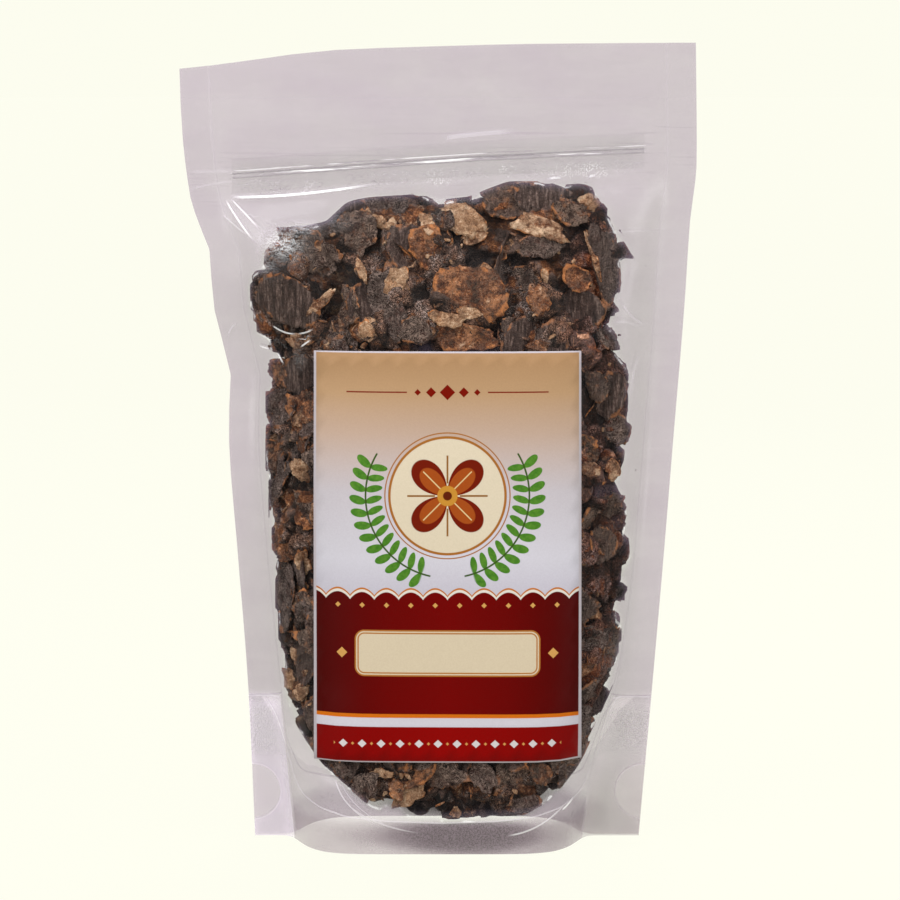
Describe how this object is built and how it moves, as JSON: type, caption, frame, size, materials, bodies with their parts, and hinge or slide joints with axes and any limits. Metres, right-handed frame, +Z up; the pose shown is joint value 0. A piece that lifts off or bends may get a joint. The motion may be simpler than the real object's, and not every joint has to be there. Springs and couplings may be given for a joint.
{
  "type": "stand-up pouch of tamarind pulp",
  "caption": "Clear stand-up zip pouch with welded sides, a folded bottom gusset and a paper front label, filled with pressed lumps of dark tamarind pulp.",
  "frame": {"origin": "bottom centre of the whole pouch's box, on the surface that the rim stands on", "axes": "+Z up to the open end's edge, -Y out of the labelled front, +X to the right as the front is seen"},
  "size_m": [0.1756, 0.064, 0.2732],
  "materials": {
    "film": "clear glossy laminated film with soft haze at the welds",
    "zip": "clear extruded polyethylene",
    "label": "printed semi-gloss paper",
    "pulp": "dark sticky fibrous fruit pulp with scraps of tan husk"
  },
  "bodies": {
    "root": {"pouch_front_panel": "film", "pouch_back_panel": "film", "pouch_gusset": "film", "zip_strip_rib": "zip", "zip_strip_groove": "zip", "front_label": "label", "pulp_top_left": "pulp", "pulp_top_right": "pulp", "pulp_side_scrap": "pulp", "pulp_shoulder_left": "pulp", "pulp_shoulder_right": "pulp", "pulp_mid_left": "pulp", "pulp_mid_right": "pulp", "pulp_low_left": "pulp", "pulp_low_right": "pulp", "pulp_base_left": "pulp", "pulp_base_right": "pulp", "pulp_foot_left": "pulp", "pulp_back_top": "pulp", "pulp_back_left": "pulp", "pulp_back_right": "pulp", "pulp_back_low_left": "pulp", "pulp_back_low_right": "pulp", "pulp_back_base": "pulp"}
  },
  "joints": []
}
